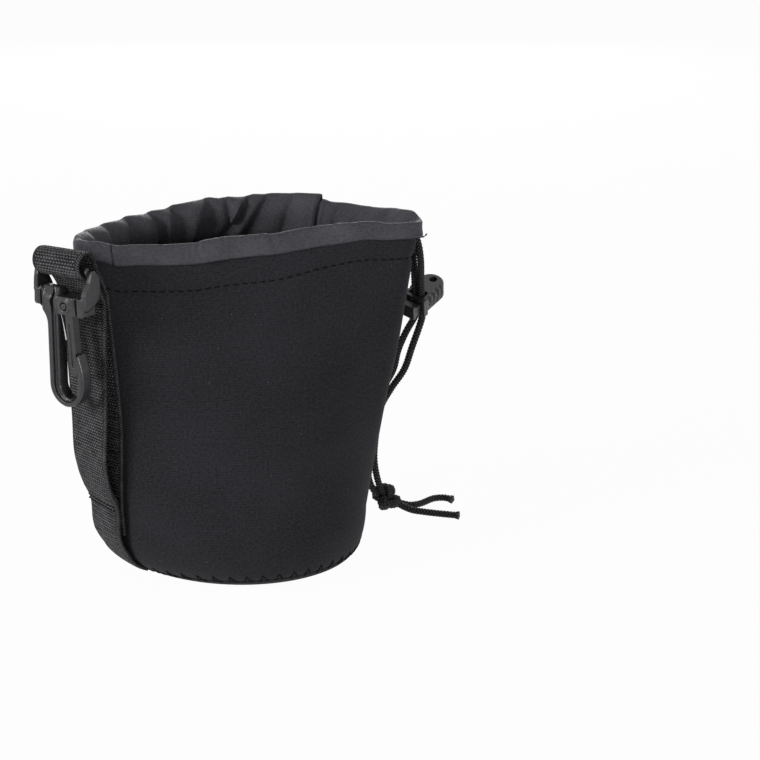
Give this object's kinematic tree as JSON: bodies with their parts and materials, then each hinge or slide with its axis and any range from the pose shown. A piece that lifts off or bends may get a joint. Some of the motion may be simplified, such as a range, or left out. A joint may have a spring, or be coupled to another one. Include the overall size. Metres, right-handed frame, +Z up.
{
  "type": "drawstring lens pouch",
  "caption": "Soft round-based neoprene pouch with a nylon drawstring hem, a cord lock, a webbing belt loop and a snap hook.",
  "frame": {"origin": "middle of the flat underside, on the floor", "axes": "+Z up, the webbing strap on the -X side, the cord's way out on the +X side"},
  "size_m": [0.1681, 0.0916, 0.1205],
  "materials": {
    "neoprene": "matt, fine knit over closed-cell foam",
    "nylon": "fine plain weave, slight sheen",
    "webbing": "ribbed flat weave",
    "cord": "fine braid",
    "plastic": "satin, moulded",
    "steel": "bare spring wire and strip"
  },
  "bodies": {
    "pouch": {"neoprene_wall": "neoprene", "base_disc": "neoprene", "hem_front": "nylon", "hem_back": "nylon", "drawcord_hem": "cord", "webbing_strap": "webbing", "drawcord_front": "cord", "drawcord_back": "cord", "drawcord_knot": "cord", "tail_upper": "cord", "tail_lower": "cord"},
    "hook": {"hook_body": "plastic", "gate_spring": "steel"},
    "gate": {"hook_gate": "plastic"},
    "cord_lock": {"lock_body": "plastic", "lock_spring": "steel"},
    "plunger": {"lock_plunger": "plastic"}
  },
  "joints": [
    {"name": "hook_swing", "type": "hinge", "parent": "pouch", "child": "hook", "pos_m": [-0.06986, -0.00242, 0.113], "axis": [-0.4031, 0.9151, 0], "range_deg": [0, 170]},
    {"name": "gate_pivot", "type": "hinge", "parent": "hook", "child": "gate", "pos_m": [-0.06977, -0.0061, 0.1006], "axis": [0.9151, 0.4031, 0], "range_deg": [0, 10], "stiffness_Nm_per_rad": 0.05, "springref_deg": -8.59, "deforming": ["gate_spring"]},
    {"name": "lock_slide", "type": "slide", "parent": "pouch", "child": "cord_lock", "axis": [-0.2796, -0.3832, 0.8803], "range_m": [-0.003, 0.0022]},
    {"name": "plunger_press", "type": "slide", "parent": "cord_lock", "child": "plunger", "axis": [0.8843, 0.2542, 0.3916], "range_m": [0, 0.0022], "stiffness_N_per_m": 900, "springref_m": -0.002, "deforming": ["lock_spring"]}
  ]
}
